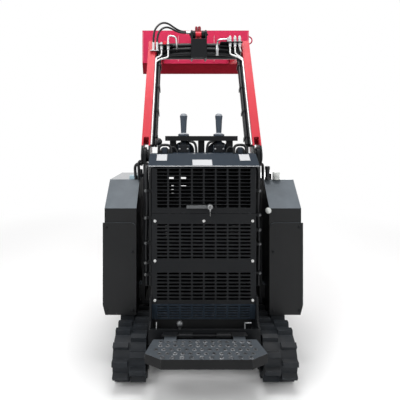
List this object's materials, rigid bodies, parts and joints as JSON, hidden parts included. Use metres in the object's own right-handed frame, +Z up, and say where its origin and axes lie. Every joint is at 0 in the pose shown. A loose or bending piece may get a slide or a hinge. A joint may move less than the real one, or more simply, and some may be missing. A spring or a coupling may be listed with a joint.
{
  "type": "stand-on tracked mini skid steer loader",
  "caption": "Compact stand-on loader on rubber tracks with red lift arms raised, tilting bucket, side tanks, louvred rear panels and a fold-up platform.",
  "frame": {"origin": "on the ground, below the middle of the machine's box", "axes": "+X is the machine's right, +Y is forward towards the bucket, +Z is up"},
  "size_m": [1.098, 2.186, 2.24],
  "materials": {
    "red_paint": "glossy red machine paint with light wear",
    "black_paint": "satin black powder coat",
    "tank_plastic": "satin black moulded cover",
    "zinc_steel": "zinc plated steel",
    "rod_chrome": "hard chromed rod",
    "engine_iron": "dark cast engine block",
    "track_rubber": "worn black rubber",
    "hose_rubber": "smooth black hose",
    "grip_plastic": "slate grey moulded grip",
    "edge_steel": "worn bare steel edge"
  },
  "bodies": {
    "root": {"chassis_frame": "black_paint", "tie_downs": "black_paint", "tower_left": "black_paint", "tower_right": "black_paint", "hood": "black_paint", "front_grille": "black_paint", "rear_frame": "black_paint", "console": "black_paint", "rear_panel": "black_paint", "toe_panel": "black_paint", "hand_rest": "black_paint", "track_frame_left": "black_paint", "track_frame_right": "black_paint", "sprockets": "black_paint", "idlers": "black_paint", "tank_left": "tank_plastic", "tank_right": "tank_plastic", "tank_cover_left": "tank_plastic", "tank_cover_right": "tank_plastic", "filler_cap": "tank_plastic", "pivot_pins": "zinc_steel", "engine_block": "engine_iron", "track_left": "track_rubber", "track_right": "track_rubber", "track_rollers": "track_rubber", "joystick_left": "grip_plastic", "joystick_right": "grip_plastic", "throttle_lever": "grip_plastic"},
    "arms": {"arm_left": "red_paint", "arm_right": "red_paint", "crossmember": "black_paint", "bulkheads": "black_paint", "arm_hoses_left": "hose_rubber", "arm_hoses_right": "hose_rubber", "hose_clamps_left": "black_paint", "hose_clamps_right": "black_paint", "tilt_hose_upper": "hose_rubber", "tilt_hose_lower": "hose_rubber", "tilt_hose_fittings": "zinc_steel"},
    "bucket_tool": {"attachment_plate": "red_paint", "bucket": "red_paint", "bucket_edge": "edge_steel", "bucket_loop": "red_paint"},
    "lift_cylinder_left": {"lift_barrel_left": "red_paint"},
    "lift_cylinder_right": {"lift_barrel_right": "red_paint"},
    "lift_piston_left": {"lift_rod_left": "rod_chrome"},
    "lift_piston_right": {"lift_rod_right": "rod_chrome"},
    "tilt_cylinder": {"tilt_barrel": "red_paint"},
    "tilt_piston": {"tilt_rod": "rod_chrome"},
    "step": {"platform": "black_paint"},
    "door": {"rear_door": "black_paint", "door_latch": "zinc_steel"}
  },
  "joints": [
    {"name": "arm_lift", "type": "hinge", "parent": "root", "child": "arms", "pos_m": [0, -0.557, 1.139], "axis": [1, 0, 0], "range_deg": [-82.5, 0]},
    {"name": "bucket_tilt", "type": "hinge", "parent": "arms", "child": "bucket_tool", "pos_m": [0, 0.513, 1.95], "axis": [1, 0, 0], "range_deg": [-52, 70]},
    {"name": "lift_swing_left", "type": "hinge", "parent": "root", "child": "lift_cylinder_left", "pos_m": [0, -0.241, 0.31], "axis": [1, 0, 0], "range_deg": [0, 2.5]},
    {"name": "lift_stroke_left", "type": "slide", "parent": "lift_cylinder_left", "child": "lift_piston_left", "axis": [0, -0.0382, 0.9993], "range_m": [-0.478, 0]},
    {"name": "lift_swing_right", "type": "hinge", "parent": "root", "child": "lift_cylinder_right", "pos_m": [0, -0.241, 0.31], "axis": [1, 0, 0], "range_deg": [0, 2.5]},
    {"name": "lift_stroke_right", "type": "slide", "parent": "lift_cylinder_right", "child": "lift_piston_right", "axis": [0, -0.0382, 0.9993], "range_m": [-0.478, 0]},
    {"name": "tilt_swing", "type": "hinge", "parent": "arms", "child": "tilt_cylinder", "pos_m": [0, -0.137, 1.985], "axis": [1, 0, 0], "range_deg": [-1.6, 1.2]},
    {"name": "tilt_stroke", "type": "slide", "parent": "tilt_cylinder", "child": "tilt_piston", "axis": [0, 0.9847, 0.1742], "range_m": [-0.152, 0.113]},
    {"name": "platform_fold", "type": "hinge", "parent": "root", "child": "step", "pos_m": [0, -0.92, 0.262], "axis": [1, 0, 0], "range_deg": [-90, 0]},
    {"name": "door_swing", "type": "hinge", "parent": "root", "child": "door", "pos_m": [0, -0.835, 1.088], "axis": [1, 0, 0], "range_deg": [-75, 0]}
  ],
  "couplings": [
    {"joint": "lift_swing_left", "follows": "arm_lift", "ratio": -0.029259},
    {"joint": "lift_stroke_left", "follows": "arm_lift", "m_per_rad": 0.33056},
    {"joint": "lift_swing_right", "follows": "arm_lift", "ratio": -0.029259},
    {"joint": "lift_stroke_right", "follows": "arm_lift", "m_per_rad": 0.33056},
    {"joint": "tilt_swing", "follows": "bucket_tilt", "ratio": -0.02},
    {"joint": "tilt_stroke", "follows": "bucket_tilt", "m_per_rad": -0.1225}
  ]
}
